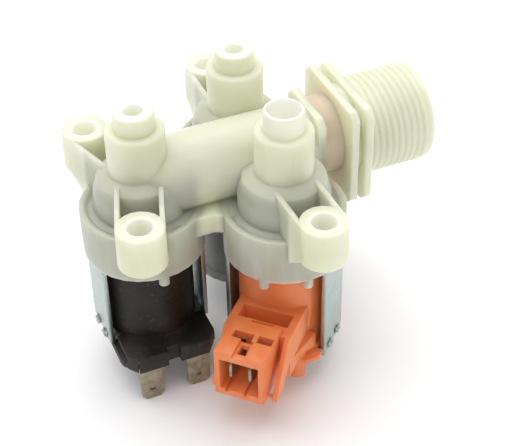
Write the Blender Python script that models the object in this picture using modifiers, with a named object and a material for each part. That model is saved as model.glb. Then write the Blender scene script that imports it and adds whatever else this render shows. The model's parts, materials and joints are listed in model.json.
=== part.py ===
"""Solenoid inlet valve of a washing machine: one threaded inlet and three hose outlets.

Metres, +Z up. The inlet points along +X and the outlets point up. Under each outlet
hang a diaphragm, a guide tube with a sprung plunger, and a coil in its steel yoke.
Heights are measured from the skirts' lower edge, and distances along the inlet from
the axis of valve 1. A valve's own X runs between its yoke's sides, and its contacts
leave it towards its own -Y.
"""

import math
from dataclasses import dataclass

import bmesh
import bpy
from mathutils import Matrix, Vector

CLEARANCE = 0.0003  # between pieces that meet

# Places of the three valves
PAIR_OFFSET = 0.0326  # valves 2 and 3 along the inlet
PAIR_OVERLAP = 0.0001  # of each of their bells past the middle
COIL_TURN = math.radians(-45.0)  # coil 2 about its axis; coil 3 faces the other way

# Bell, collar and spigot of each outlet
SKIRT_RADIUS = 0.0157
SKIRT_BORE = 0.0140
RIM_RADIUS = 0.0158
RIM_TOP = 0.0131
RIM_WIDTH = 0.0013
TROUGH_DEPTH = 0.0008
DRUM_RADIUS = 0.0118
SHOULDER_FOOT = 0.0180
SHOULDER_TOP = 0.0240
COLLAR_RADIUS = 0.00745
COLLAR_TOP = 0.0360
SPIGOT_RADIUS = 0.00515
SPIGOT_TOP = 0.0410
TALL_SPIGOT_TOP = 0.0418
LIP_ROUND = 0.0005  # lips, and the upper edge of the coils
NARROW_BORE = 0.00245
WIDE_BORE = 0.0043

# Water chamber round each riser
CHAMBER_RADIUS = 0.0100
CHAMBER_WAIST = 0.0170
CHAMBER_ROOF = 0.0212
LEDGE_HEIGHT = 0.0080  # clamps the diaphragm's rim
SEAT_HEIGHT = 0.0070  # lower end of the riser
SEAT_BORE = 0.0032
SEAT_BORE_TOP = 0.0110
RISER_WALL = 0.0012

# Screw lugs and the ribs that carry them
LUG_RADIUS = 0.00595
LUG_DRAFT = 0.0002
LUG_BORE = 0.00315
LUG_TOP = 0.0237
LUG_FOOT = 0.0117
LUG_ROUND = 0.0015
LUG_1_X = -0.00715
LUG_1_Y = 0.0220
LUG_2_X = 0.0003
LUG_2_Y = 0.0222
RIB_THICKNESS = 0.0012
RIB_TOP = 0.0234
RIB_FOOT = 0.0080
RIB_ROOT = 0.0030  # reach of the ribs into the collar
NUB_RADIUS = 0.0014
NUB_DROP = 0.0027

# Inlet: gallery, small plate, neck, two mounting plates and threaded stub
INLET_Z = 0.0195
GALLERY_RADIUS = 0.0101
GALLERY_BORE = 0.0080
GALLERY_START = 0.0050  # centre of its round end
WEB_HALF_WIDTH = 0.0123
WEB_FILLET = 0.0024
WEB_TOP = 0.0129
WEB_FOOT = 0.0073
SMALL_PLATE_START = 0.0450
SMALL_PLATE_THICKNESS = 0.0020
SMALL_PLATE_HALF_WIDTH = 0.0096
SMALL_PLATE_REACH = 0.0105
SMALL_PLATE_CORNER = (0.0021, 0.0021)
NECK_RADIUS = 0.0103
NECK_LENGTH = 0.0050
PLATE_THICKNESS = 0.0020
PLATE_GAP = 0.0020
PLATE_HALF_WIDTH = 0.0142
PLATE_TOP = 0.0132
PLATE_FOOT = -0.0148
PLATE_CORNER = (0.0020, 0.0020)
PLATE_CORE_RADIUS = 0.0123
STUB_LENGTH = 0.0190
INLET_BORE = 0.0090
MOUTH_CHAMFER = 0.0004

# Thread of the stub, G 3/4, as rings of its section
THREAD_CREST = 0.01322
THREAD_ROOT = 0.0121
THREAD_PITCH = 0.001814
THREAD_RELIEF = 0.0006  # plain length behind the thread

# Flow regulator and strainer in the inlet
REGULATOR_LENGTH = 0.0042
REGULATOR_BASE = 0.0012
REGULATOR_WALL = 0.0015
REGULATOR_HOLE = 0.0022
RING_HOLE = 0.0030
RING_THICKNESS = 0.0020
STRAINER_INSET = 0.0006
STRAINER_FLANGE = 0.0012
STRAINER_RADIUS = 0.0066
STRAINER_LENGTH = 0.0140
STRAINER_WALL = 0.0008
STRAINER_SLOTS = 6
STRAINER_SLOT_WIDTH = 0.0026

# Diaphragm: rubber with a moulded insert
RUBBER_THICKNESS = 0.0012
RUBBER_HOLE = 0.0026
RUBBER_RIM = 0.0015
RUBBER_RIM_WIDTH = 0.0031
FOLD_START = 0.0064
FOLD_END = 0.0102
FOLD_DEPTH = 0.0011
INSERT_STEM_TOP = 0.0086
INSERT_RADIUS = 0.0054
INSERT_THICKNESS = 0.0010
PILOT_HOLE = 0.0006
NIPPLE_RADIUS = 0.0016
NIPPLE_HEIGHT = 0.0006

# Guide tube, plunger, seal and spring
FLANGE_FLOOR = 0.0016
TUBE_RADIUS = 0.0050
TUBE_WALL = 0.0008
TUBE_DEPTH = 0.0232
SPRING_SPACE = 0.0072  # under the plunger
PLUNGER_CHAMFER = 0.0003
SEAL_RADIUS = 0.0020
SEAL_LENGTH = 0.0027
SEAL_PROUD = 0.0010
SPRING_RADIUS = 0.0026
SPRING_WIRE = 0.00025
SPRING_TURNS = 5
SPRING_STEPS = 6  # points of its wire on each turn

# Yokes of folded steel sheet
SHEET = 0.0012
SHEET_BEND = 0.0016
YOKE_HALF_DEPTH = 0.0068
TAB_WIDTH = 0.0022
TAB_OFFSET = 0.00285
SIDE_OVERHANG = 0.0008  # sides of yokes 2 and 3 below their lower plates

# Coils
COIL_RADIUS = 0.0120
COIL_SIDE_GAP = 0.0007  # to the yoke's sides
COIL_1_MARGIN = 0.0006  # coils below their guide tubes
COIL_2_MARGIN = 0.0043
COIL_FLANGE_GAP = 0.0003  # inside the yoke's outer faces
COIL_FLANGE_THICKNESS = 0.0012

# Foot of coil 1: a slab under its yoke, and in front of it two blocks for the spades
BASE_THICKNESS = 0.0024
BASE_STEP = 0.0007  # inside the yoke's outer faces
BASE_FRONT = 0.0155
BASE_CORNER = 0.0030
BLOCK_RISE = 0.0008  # above the barrel's foot
BLOCK_HALF_WIDTH = 0.0120
BLOCK_SHOULDER = 0.0152
BLOCK_FRONT = 0.0183
BLOCK_TAPER = 0.0024
NOTCH_HALF_WIDTH = 0.0017
NOTCH_DEPTH = 0.0018
SPADE_WIDTH = 0.0063
SPADE_THICKNESS = 0.0008
SPADE_REACH = 0.0173
SPADE_INSET = 0.0030
SPADE_EXPOSED = 0.0107
SPADE_CORNER = 0.0014
SPADE_HOLE = 0.00085
SPADE_HOLE_HEIGHT = 0.0037  # over the tip
SPADE_OFFSET = 0.0065

# Plug housings of coils 2 and 3: heights from the skirt, reach from the coil's axis
PLUG_HALF_WIDTH = 0.0066
PLUG_FRONT = 0.0322
PLUG_TOP = -0.0111
PLUG_FOOT = -0.0259
MOUTH_HALF_WIDTH = 0.0052
MOUTH_TOP = -0.0137
MOUTH_FOOT = -0.0238
MOUTH_BACK = 0.0225
GROOVES = (-0.0034, 0.0017)
GROOVE_WIDTH = 0.0009
GROOVE_DEPTH = 0.0009
CHANNEL_HALF_WIDTH = 0.00175
CHANNEL_DEPTH = 0.0011
SLOT_HALF_WIDTH = 0.0011
SLOT_START = 0.0268
SLOT_END = 0.0302
WINDOW_START = 0.0234
WINDOW_END = 0.0259
WINDOWS = ((-0.0043, 0.0010), (0.0022, 0.0063))
BAR_SHIFT = 0.0005
BAR_HALF_WIDTH = 0.0088
BAR_TOP = -0.0123
BAR_BACK = 0.0172
BAR_FRONT = 0.0205
RECESS = (-0.0022, 0.0037)
RECESS_START = 0.0175
RECESS_END = 0.0193
RECESS_DEPTH = 0.0012
GUTTER_HALF_WIDTH = 0.0068
GUTTER_GAP = 0.0006  # to the barrel
GUTTER_FLOOR = -0.0215
STRAP_THICKNESS = 0.0012
STRAP_TOE = 0.0302
STRAP_TOE_HEIGHT = 0.0012
STRAP_TOE_LENGTH = 0.0035
STRAP_HEIGHT = 0.0048
BOSS_RADIUS = 0.0022
BOSS_X = 0.0078
BOSS_REACH = 0.0110
BOSS_FOOT = -0.0340
BLADE_INSET = 0.0010
BLADE_ROOT = 0.0185
BLADE_CHAMFER = 0.0012
BLADE_OFFSET = 0.0026

# Gusset beside the plug housing, and the ear of the coil's foot below it
GUSSET_FRONT = 0.0178
GUSSET_WIDTH = 0.0115
GUSSET_TOP = -0.0215
EAR_WIDTH = 0.0134
EAR_REACH = 0.0126
EAR_TAPER = 0.0028
EAR_DROP = 0.0009

# Sizes that follow from those above
PAIR_HALF_SPACING = SKIRT_RADIUS - PAIR_OVERLAP
YOKE_HALF_WIDTH = COIL_RADIUS + COIL_SIDE_GAP + SHEET
YOKE_CLEAR = YOKE_HALF_DEPTH + CLEARANCE
COIL_FLANGE_RADIUS = YOKE_HALF_WIDTH - COIL_FLANGE_GAP
BASE_HALF_WIDTH = YOKE_HALF_WIDTH - BASE_STEP
COIL_1_FOOT = -(TUBE_DEPTH + COIL_1_MARGIN)
COIL_2_FOOT = -(TUBE_DEPTH + COIL_2_MARGIN)
BASE_TOP = COIL_1_FOOT - SHEET - 2.0 * CLEARANCE
BASE_FOOT = BASE_TOP - BASE_THICKNESS
SPADE_TIP = BASE_FOOT - SPADE_EXPOSED
SKIRT_Z = -SPADE_TIP  # the part stands on the spade tips
NECK_START = SMALL_PLATE_START + SMALL_PLATE_THICKNESS
PLATE_START = NECK_START + NECK_LENGTH
OUTER_PLATE_START = PLATE_START + PLATE_THICKNESS + PLATE_GAP
STUB_START = OUTER_PLATE_START + PLATE_THICKNESS
INLET_END = STUB_START + STUB_LENGTH
VALVE_1_X = (RIM_RADIUS - INLET_END) / 2.0  # centres the part along X
BLADE_TOP = MOUTH_TOP - BLADE_INSET
BLADE_FOOT = BLADE_TOP - SPADE_WIDTH
BLADE_TIP = PLUG_FRONT - BLADE_INSET

# Number of sides of the round pieces
ROUND_LARGE = 28
ROUND_MEDIUM = 20
ROUND_INNER = 16
ROUND_SMALL = 12

# Turns that lay a shape's own axes along the part's
AXIS_TO_X = Matrix.Rotation(math.pi / 2.0, 4, "Y")
OUTLINE_ACROSS_X = Matrix(((0, 0, 1, 0), (1, 0, 0, 0), (0, 1, 0, 0), (0, 0, 0, 1)))
OUTLINE_ACROSS_Y = Matrix.Rotation(math.pi / 2.0, 4, "X")
OUTLINE_OUTWARD = Matrix(((0, 0, -1, 0), (-1, 0, 0, 0), (0, 1, 0, 0), (0, 0, 0, 1)))

COLOURS = {
    "body_nylon": ((0.83, 0.83, 0.70), 0.42, 0.0),
    "black_nylon": ((0.022, 0.020, 0.019), 0.45, 0.0),
    "orange_nylon": ((0.80, 0.17, 0.03), 0.45, 0.0),
    "grey_nylon": ((0.30, 0.30, 0.30), 0.45, 0.0),
    "zinc_steel": ((0.46, 0.58, 0.56), 0.35, 1.0),
    "terminal_metal": ((0.50, 0.47, 0.38), 0.35, 1.0),
    "plunger_steel": ((0.55, 0.55, 0.56), 0.30, 1.0),
    "spring_steel": ((0.60, 0.60, 0.60), 0.25, 1.0),
    "rubber": ((0.02, 0.02, 0.02), 0.75, 0.0),
    "white_acetal": ((0.80, 0.80, 0.78), 0.40, 0.0),
    "red_acetal": ((0.55, 0.07, 0.06), 0.40, 0.0),
}


@dataclass
class Valve:
    """One outlet with what hangs under it."""

    number: int
    x: float
    y: float
    turn: float
    spigot_top: float
    bore: float
    lugs: tuple
    nub_angles: tuple
    coil_foot: float
    side_overhang: float


VALVES = (
    Valve(1, VALVE_1_X, 0.0, 0.0, SPIGOT_TOP, NARROW_BORE,
          ((LUG_1_X, -LUG_1_Y), (LUG_1_X, LUG_1_Y)), (-90.0,), COIL_1_FOOT, 0.0),
    Valve(2, VALVE_1_X + PAIR_OFFSET, -PAIR_HALF_SPACING, COIL_TURN, TALL_SPIGOT_TOP, WIDE_BORE,
          ((LUG_2_X, -LUG_2_Y),), (-90.0, -135.0), COIL_2_FOOT, SIDE_OVERHANG),
    Valve(3, VALVE_1_X + PAIR_OFFSET, PAIR_HALF_SPACING, COIL_TURN + math.pi, SPIGOT_TOP, NARROW_BORE,
          ((LUG_2_X, LUG_2_Y),), (90.0, 45.0), COIL_2_FOOT, SIDE_OVERHANG),
)


def upright(valve):
    """Frame on the valve's axis at the skirt's lower edge, with the part's directions."""
    return Matrix.Translation((valve.x, valve.y, SKIRT_Z))


def turned_frame(valve):
    """The same frame, turned with the valve's coil."""
    return upright(valve) @ Matrix.Rotation(valve.turn, 4, "Z")


def inlet_frame(distance):
    """Frame on the inlet's axis, at a distance from valve 1."""
    return Matrix.Translation((VALVE_1_X + distance, 0.0, SKIRT_Z + INLET_Z))


def clear_scene():
    for old in list(bpy.data.objects):
        bpy.data.objects.remove(old, do_unlink=True)
    for old in list(bpy.data.collections):
        bpy.data.collections.remove(old)


def new_collection(name):
    collection = bpy.data.collections.new(name)
    bpy.context.scene.collection.children.link(collection)
    return collection


def make_materials():
    materials = {}
    for name, (colour, roughness, metallic) in COLOURS.items():
        made = bpy.data.materials.new(name)
        made.use_nodes = True
        shader = made.node_tree.nodes["Principled BSDF"]
        shader.inputs["Base Color"].default_value = (*colour, 1.0)
        shader.inputs["Roughness"].default_value = roughness
        shader.inputs["Metallic"].default_value = metallic
        made.diffuse_color = (*colour, 1.0)
        materials[name] = made
    return materials


def guide(name, data, frame):
    """An object that only shapes others: not rendered, drawn as wire."""
    made = bpy.data.objects.new(name, data)
    made.hide_render = True
    made.display_type = "WIRE"
    bpy.data.collections["cutters"].objects.link(made)
    made.matrix_world = frame
    return made


def box(name, low, high, frame):
    """Box between two corners."""
    low, high = Vector(low), Vector(high)
    shape = bmesh.new()
    stretch = Matrix.Diagonal((*(high - low), 1.0))
    bmesh.ops.create_cube(shape, size=1.0, matrix=Matrix.Translation((low + high) / 2.0) @ stretch)
    mesh = bpy.data.meshes.new(name)
    shape.to_mesh(mesh)
    shape.free()
    return guide(name, mesh, frame)


def cylinder(name, radius, low, high, frame, sides=ROUND_MEDIUM, top_radius=None):
    """Cylinder or cone between two heights."""
    shape = bmesh.new()
    bmesh.ops.create_cone(shape, cap_ends=True, segments=sides, radius1=radius,
                          radius2=radius if top_radius is None else top_radius,
                          depth=high - low, matrix=Matrix.Translation((0.0, 0.0, (low + high) / 2.0)))
    mesh = bpy.data.meshes.new(name)
    shape.to_mesh(mesh)
    shape.free()
    return guide(name, mesh, frame)


def turned(name, profile, frame, sides=ROUND_MEDIUM, ring=False):
    """Profile of (radius, height) points turned about Z; a ring's profile is a closed loop."""
    mesh = bpy.data.meshes.new(name)
    edges = [(i, i + 1) for i in range(len(profile) - 1)]
    if ring:
        edges.append((len(profile) - 1, 0))
    mesh.from_pydata([(radius, 0.0, height) for radius, height in profile], edges, [])
    made = guide(name, mesh, frame)
    screw = made.modifiers.new("turn", "SCREW")
    screw.axis = "Z"
    screw.steps = sides
    screw.render_steps = sides
    screw.use_merge_vertices = True
    screw.merge_threshold = 0.00001
    return made


def made_mesh(curve_object):
    """Mesh object in the place of a curve object, with its caps welded."""
    bpy.context.view_layer.update()
    evaluated = curve_object.evaluated_get(bpy.context.evaluated_depsgraph_get())
    mesh = bpy.data.meshes.new_from_object(evaluated)
    shape = bmesh.new()
    shape.from_mesh(mesh)
    bmesh.ops.remove_doubles(shape, verts=shape.verts, dist=0.000001)
    bmesh.ops.recalc_face_normals(shape, faces=shape.faces)
    shape.to_mesh(mesh)
    shape.free()
    name, frame = curve_object.name, curve_object.matrix_world.copy()
    bpy.data.objects.remove(curve_object)
    return guide(name, mesh, frame)


def outline(name, loops, thickness, frame):
    """Flat outline in XY, of one outer loop and any holes, thickened evenly along Z."""
    curve = bpy.data.curves.new(name, "CURVE")
    curve.dimensions = "2D"
    curve.fill_mode = "BOTH"
    curve.extrude = thickness / 2.0
    for points in loops:
        spline = curve.splines.new("POLY")
        spline.points.add(len(points) - 1)
        for target, (x, y) in zip(spline.points, points):
            target.co = (x, y, 0.0, 1.0)
        spline.use_cyclic_u = True
    return made_mesh(guide(name, curve, frame))


def wire(name, points, radius, frame):
    """Round wire through the points."""
    curve = bpy.data.curves.new(name, "CURVE")
    curve.dimensions = "3D"
    curve.bevel_depth = radius
    curve.bevel_resolution = 0
    curve.use_fill_caps = True
    spline = curve.splines.new("POLY")
    spline.points.add(len(points) - 1)
    for target, point in zip(spline.points, points):
        target.co = (*point, 1.0)
    return made_mesh(guide(name, curve, frame))


def combine(target, shapes, operation):
    """Union with the shapes, or the cut of them, as one Boolean."""
    operands = bpy.data.collections.new(f"{target.name}_{operation.lower()}")
    bpy.data.collections["cutters"].children.link(operands)
    for shape in shapes:
        bpy.data.collections["cutters"].objects.unlink(shape)
        operands.objects.link(shape)
    change = target.modifiers.new(operation.title(), "BOOLEAN")
    change.operation = operation
    change.operand_type = "COLLECTION"
    change.solver = "EXACT"
    change.collection = operands


def node(name, base, material, join=(), cut=()):
    """Finished piece: the base joined with shapes, then cut by others."""
    if join:
        combine(base, join, "UNION")
    if cut:
        combine(base, cut, "DIFFERENCE")
    bpy.context.view_layer.update()
    evaluated = base.evaluated_get(bpy.context.evaluated_depsgraph_get())
    mesh = bpy.data.meshes.new_from_object(evaluated)
    mesh.materials.clear()
    mesh.materials.append(material)
    mesh.shade_smooth()
    mesh.set_sharp_from_angle(angle=math.radians(32.0))
    piece = bpy.data.objects.new(name, mesh)
    piece.matrix_world = base.matrix_world.copy()
    bpy.data.collections["inlet_valve"].objects.link(piece)
    bpy.data.objects.remove(base)
    return piece


def arc(centre, radii, start, end, count):
    """Points of an elliptic arc, angles in degrees."""
    points = []
    for i in range(count):
        angle = math.radians(start + (end - start) * i / (count - 1))
        points.append((centre[0] + radii[0] * math.cos(angle), centre[1] + radii[1] * math.sin(angle)))
    return points


def mirrored(half):
    """A closed outline from its right half, listed from top to bottom."""
    return half + [(-x, y) for x, y in reversed(half)]


def chamfered(half_width, foot, top, corner):
    """Rectangle with its four corners cut off."""
    half = [(half_width - corner[0], top), (half_width, top - corner[1]),
            (half_width, foot + corner[1]), (half_width - corner[0], foot)]
    return mirrored(half)


def bell_profile(valve):
    """Outer side of spigot, collar, shoulder, drum and skirt, from top to bottom."""
    lip = (LIP_ROUND, LIP_ROUND)
    trough = RIM_TOP - TROUGH_DEPTH
    inner_rim = RIM_RADIUS - RIM_WIDTH
    points = [(0.0, valve.spigot_top)]
    points += arc((SPIGOT_RADIUS - LIP_ROUND, valve.spigot_top - LIP_ROUND), lip, 90, 0, 2)
    points.append((SPIGOT_RADIUS, COLLAR_TOP))
    points += arc((COLLAR_RADIUS - LIP_ROUND, COLLAR_TOP - LIP_ROUND), lip, 90, 0, 2)
    points += arc((COLLAR_RADIUS, SHOULDER_FOOT),
                  (DRUM_RADIUS - COLLAR_RADIUS, SHOULDER_TOP - SHOULDER_FOOT), 90, 0, 3)
    points += [(DRUM_RADIUS, trough + TROUGH_DEPTH), (inner_rim - TROUGH_DEPTH, trough)]
    points += [(inner_rim, RIM_TOP), (RIM_RADIUS, RIM_TOP), (SKIRT_RADIUS, 0.0), (0.0, 0.0)]
    return points


def riser_radius(valve):
    return max(valve.bore, SEAT_BORE) + RISER_WALL


def chamber_profile(valve):
    """Space for the diaphragm and, round the riser, for the water."""
    riser = riser_radius(valve)
    return [(0.0, SEAT_HEIGHT), (riser, SEAT_HEIGHT), (riser, CHAMBER_ROOF),
            ((riser + CHAMBER_RADIUS) / 2.0, CHAMBER_ROOF), (CHAMBER_RADIUS, CHAMBER_WAIST),
            (CHAMBER_RADIUS, LEDGE_HEIGHT), (SKIRT_BORE, LEDGE_HEIGHT),
            (SKIRT_BORE, -2.0 * NUB_DROP), (0.0, -2.0 * NUB_DROP)]


def lug_shapes(valve, lug, label):
    """Tapered lug with its two ribs, and its bore."""
    centre = Vector((valve.x + lug[0], valve.y + lug[1], SKIRT_Z))
    distance = math.hypot(*lug)
    heading = Matrix.Rotation(math.atan2(lug[1], lug[0]), 4, "Z")
    seat = Matrix.Translation(centre)
    wide = LUG_RADIUS + LUG_DRAFT
    profile = [(0.0, LUG_TOP), (LUG_RADIUS, LUG_TOP)]
    profile += arc((wide - LUG_ROUND, LUG_FOOT + LUG_ROUND), (LUG_ROUND, LUG_ROUND), 0, -90, 2)
    post = turned(f"{label}_post", profile + [(0.0, LUG_FOOT)], seat)
    inside_collar = COLLAR_RADIUS - RIB_ROOT
    side = [(inside_collar, RIB_TOP), (distance, RIB_TOP), (distance, LUG_FOOT + LUG_ROUND),
            (RIM_RADIUS, RIB_FOOT), (inside_collar, RIB_FOOT)]
    ribs = []
    for sign in (-1.0, 1.0):
        shift = Matrix.Translation((0.0, sign * (LUG_RADIUS - RIB_THICKNESS / 2.0), 0.0))
        frame = upright(valve) @ heading @ shift @ OUTLINE_ACROSS_Y
        ribs.append(outline(f"{label}_rib", [side], RIB_THICKNESS, frame))
    between = Matrix.Rotation(math.pi / ROUND_MEDIUM, 4, "Z")  # off the post's own edges
    bore = cylinder(f"{label}_bore", LUG_BORE, LUG_FOOT - LUG_BORE, LUG_TOP + LUG_BORE, seat @ between)
    return [post, *ribs], bore


def web_outline():
    """Flat web between the three bells, about valve 1's axis."""
    meets_rim = PAIR_OFFSET - math.sqrt(RIM_RADIUS ** 2 - (PAIR_HALF_SPACING - WEB_HALF_WIDTH) ** 2)
    front = [(0.0, -WEB_HALF_WIDTH), (meets_rim - WEB_FILLET, -WEB_HALF_WIDTH),
             (meets_rim, -WEB_HALF_WIDTH - WEB_FILLET / 2.0),
             (PAIR_OFFSET - PAIR_HALF_SPACING, -PAIR_HALF_SPACING),
             (PAIR_OFFSET, -PAIR_HALF_SPACING / 2.0)]
    return front + [(x, -y) for x, y in reversed(front)]


def thread_rings():
    """The thread's section along the stub, from its end to the plate."""
    points = []
    along = INLET_END - MOUTH_CHAMFER
    while along - THREAD_PITCH > STUB_START + THREAD_RELIEF:
        points += [(THREAD_CREST, along), (THREAD_ROOT, along - THREAD_PITCH / 2.0)]
        along -= THREAD_PITCH
    return [(THREAD_CREST - MOUTH_CHAMFER, INLET_END), *points]


def inlet_shapes():
    """Everything along the inlet's axis outside the bells."""
    nose = arc((GALLERY_START, 0.0), (GALLERY_RADIUS, GALLERY_RADIUS), 180, 90, 5)
    into_plate = SMALL_PLATE_START + SMALL_PLATE_THICKNESS / 2.0
    profile = [(radius, along) for along, radius in reversed(nose)]
    profile.insert(0, (GALLERY_RADIUS, into_plate))
    profile.insert(0, (0.0, into_plate))
    profile[-1] = (0.0, profile[-1][1])
    gallery = turned("gallery", profile, inlet_frame(0.0) @ AXIS_TO_X, ROUND_LARGE)
    web = outline("web", [web_outline()], WEB_TOP - WEB_FOOT,
                  Matrix.Translation((VALVE_1_X, 0.0, SKIRT_Z + (WEB_TOP + WEB_FOOT) / 2.0)))
    small = outline("small_plate", [chamfered(SMALL_PLATE_HALF_WIDTH, -SMALL_PLATE_REACH,
                                              SMALL_PLATE_REACH, SMALL_PLATE_CORNER)],
                    SMALL_PLATE_THICKNESS,
                    inlet_frame(SMALL_PLATE_START + SMALL_PLATE_THICKNESS / 2.0) @ OUTLINE_ACROSS_X)
    shapes = [gallery, web, small]
    for start in (PLATE_START, OUTER_PLATE_START):
        shapes.append(outline("mounting_plate",
                              [chamfered(PLATE_HALF_WIDTH, PLATE_FOOT, PLATE_TOP, PLATE_CORNER)],
                              PLATE_THICKNESS,
                              inlet_frame(start + PLATE_THICKNESS / 2.0) @ OUTLINE_ACROSS_X))
    middle = PLATE_START + PLATE_THICKNESS / 2.0
    outer_middle = OUTER_PLATE_START + PLATE_THICKNESS / 2.0
    stub = [(0.0, INLET_END), *thread_rings(), (THREAD_ROOT, outer_middle),
            (PLATE_CORE_RADIUS, outer_middle), (PLATE_CORE_RADIUS, middle), (NECK_RADIUS, middle),
            (NECK_RADIUS, into_plate), (0.0, into_plate)]
    shapes.append(turned("stub", stub, inlet_frame(0.0) @ AXIS_TO_X, ROUND_LARGE))
    return shapes


def inlet_bore():
    """Stepped bore from the inlet's mouth to the riser of valve 1."""
    start = riser_radius(VALVES[0]) + RISER_WALL / 2.0
    mouth = INLET_BORE + MOUTH_CHAMFER
    outside = INLET_END + MOUTH_CHAMFER
    profile = [(0.0, outside), (mouth, outside), (mouth, INLET_END),
               (INLET_BORE, INLET_END - MOUTH_CHAMFER), (INLET_BORE, NECK_START),
               (GALLERY_BORE, NECK_START), (GALLERY_BORE, start), (0.0, start)]
    return turned("inlet_bore", profile, inlet_frame(0.0) @ AXIS_TO_X, ROUND_LARGE)


def valve_body(materials):
    """One moulding: bells, lugs, gallery, plates and threaded stub, with all its bores."""
    base = None
    join = inlet_shapes()
    cut = [inlet_bore()]
    for valve in VALVES:
        seat = upright(valve)
        bell = turned(f"bell_{valve.number}", bell_profile(valve), seat, ROUND_LARGE)
        if base is None:
            base = bell
        else:
            join.append(bell)
        cut.append(turned(f"chamber_{valve.number}", chamber_profile(valve), turned_frame(valve),
                          ROUND_INNER))
        outside, seat_bore = valve.spigot_top + LIP_ROUND, max(valve.bore, SEAT_BORE)
        outlet = [(0.0, outside), (valve.bore, outside), (valve.bore, SEAT_BORE_TOP),
                  (seat_bore, SEAT_BORE_TOP - SEAT_BORE / 2.0), (seat_bore, SEAT_HEIGHT / 2.0),
                  (0.0, SEAT_HEIGHT / 2.0)]
        cut.append(turned(f"outlet_bore_{valve.number}", outlet, seat, ROUND_INNER))
        for index, lug in enumerate(valve.lugs):
            solid, bore = lug_shapes(valve, lug, f"lug_{valve.number}_{index + 1}")
            join += solid
            cut.append(bore)
        for angle in valve.nub_angles:
            place = Matrix.Translation((SKIRT_RADIUS - NUB_RADIUS, 0.0, 0.0))
            around = Matrix.Rotation(math.radians(angle), 4, "Z") @ place
            join.append(cylinder("nub", NUB_RADIUS, -NUB_DROP, NUB_DROP, seat @ around, ROUND_SMALL))
    return node("valve_body", base, materials["body_nylon"], join, cut)


def flow_regulator(materials):
    """Holder against the bore's step, with its rubber ring."""
    outer = INLET_BORE - CLEARANCE
    inner = outer - REGULATOR_WALL
    frame = inlet_frame(NECK_START + CLEARANCE) @ AXIS_TO_X
    cup = [(outer, REGULATOR_LENGTH), (outer, 0.0), (REGULATOR_HOLE, 0.0),
           (REGULATOR_HOLE, REGULATOR_BASE), (inner, REGULATOR_BASE), (inner, REGULATOR_LENGTH)]
    holder = turned("regulator_cup", cup, frame, ROUND_INNER, ring=True)
    node("flow_regulator_holder", holder, materials["red_acetal"])
    low = REGULATOR_BASE + CLEARANCE
    washer = [(inner - CLEARANCE, low + RING_THICKNESS), (inner - CLEARANCE, low), (RING_HOLE, low),
              (RING_HOLE, low + RING_THICKNESS)]
    node("flow_regulator_ring", turned("regulator_washer", washer, frame, ROUND_INNER, ring=True),
         materials["rubber"])


def strainer(materials):
    """Cup of slots in the inlet's mouth, closed at its inner end."""
    outer = INLET_BORE - CLEARANCE
    top = INLET_END - STRAINER_INSET
    shelf = top - STRAINER_FLANGE
    foot = top - STRAINER_LENGTH
    inner = STRAINER_RADIUS - STRAINER_WALL
    cup = [(0.0, foot + STRAINER_WALL), (inner, foot + STRAINER_WALL), (inner, top), (outer, top),
           (outer, shelf), (STRAINER_RADIUS, shelf), (STRAINER_RADIUS, foot), (0.0, foot)]
    frame = inlet_frame(0.0) @ AXIS_TO_X
    slots = []
    for i in range(STRAINER_SLOTS):
        around = Matrix.Rotation(2.0 * math.pi * (i + 0.5) / STRAINER_SLOTS, 4, "Z")
        slots.append(box("strainer_slot",
                         (inner / 2.0, -STRAINER_SLOT_WIDTH / 2.0, foot + 2.0 * STRAINER_WALL),
                         (STRAINER_RADIUS + STRAINER_WALL, STRAINER_SLOT_WIDTH / 2.0,
                          shelf - STRAINER_WALL), frame @ around))
    node("inlet_strainer", turned("strainer_cup", cup, frame, ROUND_INNER), materials["white_acetal"],
         (), slots)


def diaphragm(valve, materials):
    """Rubber clamped under the ledge, with the insert whose pilot hole the plunger closes."""
    frame = turned_frame(valve)
    outer = SKIRT_BORE - CLEARANCE
    rim_top = LEDGE_HEIGHT - CLEARANCE
    rim_inner = outer - RUBBER_RIM_WIDTH
    top = SEAT_HEIGHT - CLEARANCE
    low = top - RUBBER_THICKNESS
    fold = low - FOLD_DEPTH
    skin = RUBBER_THICKNESS
    middle = (FOLD_START + FOLD_END) / 2.0
    profile = [(RUBBER_HOLE, top), (FOLD_START, top), (middle, fold + skin), (rim_inner, rim_top),
               (outer, rim_top), (outer, rim_top - RUBBER_RIM), (rim_inner, rim_top - RUBBER_RIM),
               (middle, fold), (FOLD_START - skin / 2.0, low), (RUBBER_HOLE, low)]
    node(f"diaphragm_{valve.number}", turned("membrane", profile, frame, ROUND_INNER, ring=True),
         materials["rubber"])
    plate_top = low - CLEARANCE
    plate_foot = plate_top - INSERT_THICKNESS
    stem = RUBBER_HOLE - CLEARANCE
    insert = [(PILOT_HOLE, INSERT_STEM_TOP), (stem, INSERT_STEM_TOP), (stem, plate_top),
              (INSERT_RADIUS, plate_top), (INSERT_RADIUS, plate_foot), (NIPPLE_RADIUS, plate_foot),
              (NIPPLE_RADIUS - PILOT_HOLE / 2.0, plate_foot - NIPPLE_HEIGHT),
              (PILOT_HOLE, plate_foot - NIPPLE_HEIGHT)]
    node(f"diaphragm_insert_{valve.number}", turned("insert", insert, frame, ROUND_SMALL, ring=True),
         materials["white_acetal"])
    return plate_foot - NIPPLE_HEIGHT


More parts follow.
